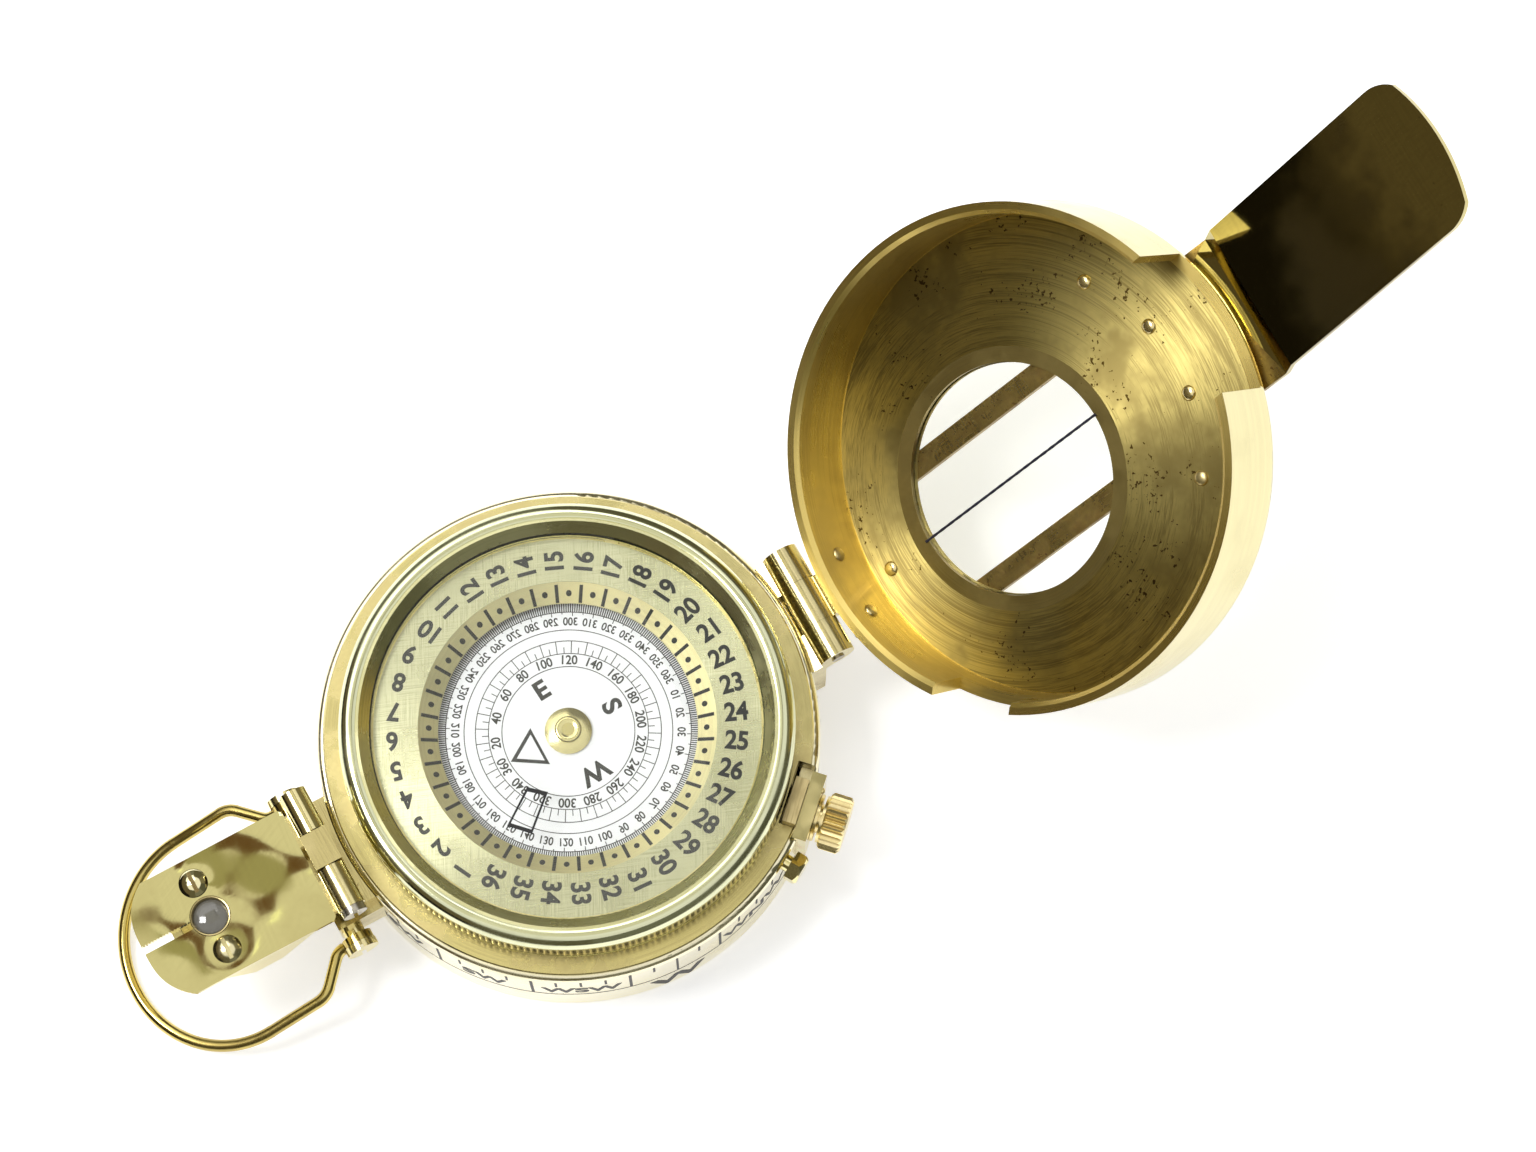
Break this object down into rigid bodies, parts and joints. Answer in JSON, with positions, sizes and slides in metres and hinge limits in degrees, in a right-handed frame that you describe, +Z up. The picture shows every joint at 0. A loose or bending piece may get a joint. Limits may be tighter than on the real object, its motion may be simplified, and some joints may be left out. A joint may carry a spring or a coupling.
{
  "type": "prismatic marine compass",
  "caption": "Brass prismatic pocket compass: cylindrical case with turning bezel and floating card, hinged lid with hair line and sighting tongue, folding prism and carrying bail.",
  "frame": {"origin": "centre of the case's underside, on the table", "axes": "+Z up through the card's pivot, +X along the sight line towards the lid's hinge, prism at -X"},
  "size_m": [0.1706, 0.06, 0.0759],
  "materials": {
    "polished_brass": "polished",
    "brushed_brass": "brushed",
    "steel": "satin",
    "magnet_steel": "satin",
    "card_white": "matt paint",
    "jewel": "polished",
    "clear_glass": "clear",
    "prism_glass": "clear",
    "hair": "matt"
  },
  "bodies": {
    "case": {"case_shell": "polished_brass", "deck_ring": "polished_brass", "base_plate": "polished_brass", "number_ring": "brushed_brass", "scale_ring": "polished_brass", "pivot_post": "polished_brass", "clamp_bracket": "polished_brass", "case_hinge": "polished_brass", "hinge_pin": "steel", "prism_bracket": "polished_brass", "bail_screws": "polished_brass"},
    "card": {"card_disc": "card_white", "card_hub": "polished_brass", "card_magnets": "magnet_steel", "card_jewel": "jewel"},
    "bezel": {"bezel_ring": "polished_brass", "bezel_glass": "clear_glass", "bezel_retainer": "polished_brass"},
    "clamp_shoe": {"clamp_shoe": "polished_brass"},
    "clamp_knob": {"clamp_knob": "polished_brass"},
    "brake": {"brake_plunger": "polished_brass"},
    "lid": {"lid_shell": "brushed_brass", "lid_plate": "brushed_brass", "lid_hinge": "polished_brass", "lid_glass": "clear_glass", "lid_glass_ring": "brushed_brass", "hairline": "hair", "tongue_plate": "polished_brass"},
    "slide": {"prism_slide": "polished_brass"},
    "prism": {"prism_pin": "steel", "prism_box": "polished_brass", "prism_glass": "prism_glass", "hood_plate": "polished_brass", "hood_screws": "polished_brass", "prism_lens": "clear_glass"},
    "bail": {"bail": "polished_brass"}
  },
  "joints": [
    {"name": "lid_hinge", "type": "hinge", "parent": "case", "child": "lid", "pos_m": [0.0326, 0, 0.0153], "axis": [0, 1, 0], "range_deg": [-140.5, 35]},
    {"name": "bezel_turn", "type": "hinge", "parent": "case", "child": "bezel", "pos_m": [0, 0, 0.0185], "axis": [0, 0, 1], "continuous": true},
    {"name": "card_turn", "type": "hinge", "parent": "case", "child": "card", "pos_m": [0, 0, 0.0156], "axis": [0, 0, 1], "continuous": true},
    {"name": "clamp_feed", "type": "slide", "parent": "case", "child": "clamp_shoe", "axis": [-0.6884, 0.7254, 0], "range_m": [0, 0.0004]},
    {"name": "clamp_turn", "type": "hinge", "parent": "case", "child": "clamp_knob", "pos_m": [0.02299, -0.02423, 0.0114], "axis": [-0.6884, 0.7254, 0], "range_deg": [0, 288]},
    {"name": "brake_press", "type": "slide", "parent": "case", "child": "brake", "axis": [-0.5075, 0.8616, 0], "range_m": [0, 0.0006], "stiffness_N_per_m": 150},
    {"name": "prism_focus", "type": "slide", "parent": "case", "child": "slide", "axis": [0, 0, 1], "range_m": [0, 0.005]},
    {"name": "prism_fold", "type": "hinge", "parent": "slide", "child": "prism", "pos_m": [-0.0323, 0, 0.0218], "axis": [0, 1, 0], "range_deg": [0, 180]},
    {"name": "bail_swing", "type": "hinge", "parent": "case", "child": "bail", "pos_m": [-0.0334, 0, 0.0105], "axis": [0, 1, 0], "range_deg": [-69, 111]}
  ]
}
